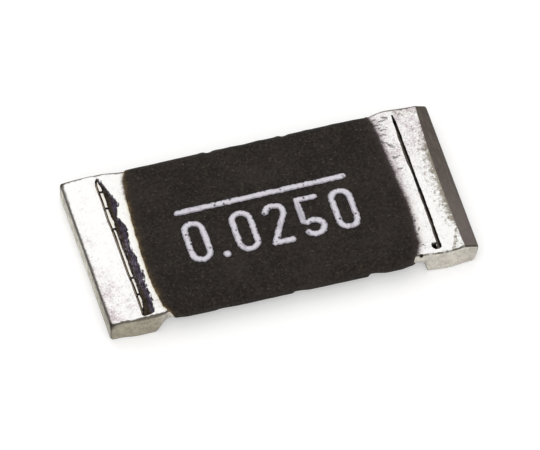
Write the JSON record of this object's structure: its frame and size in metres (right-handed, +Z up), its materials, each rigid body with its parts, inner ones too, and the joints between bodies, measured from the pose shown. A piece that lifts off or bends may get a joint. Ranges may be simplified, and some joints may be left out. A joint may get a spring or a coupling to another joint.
{
  "type": "chip resistor",
  "caption": "Flat metal strip chip resistor: a milled alloy strip between welded, tin plated end terminals, with a black coating and a printed value.",
  "frame": {"origin": "middle of the soldering plane, under the middle of the chip", "axes": "+X along the chip to the right-hand terminal, +Y across it towards the top of the print, +Z up from the board"},
  "size_m": [0.0064, 0.0032, 0.0005],
  "materials": {
    "element_metal": "satin",
    "tin_plate": "satin",
    "black_coating": "matte",
    "white_ink": "matte"
  },
  "bodies": {
    "root": {"resistive_element": "element_metal", "left_terminal": "tin_plate", "right_terminal": "tin_plate", "coating": "black_coating", "value_marking": "white_ink"}
  },
  "joints": []
}
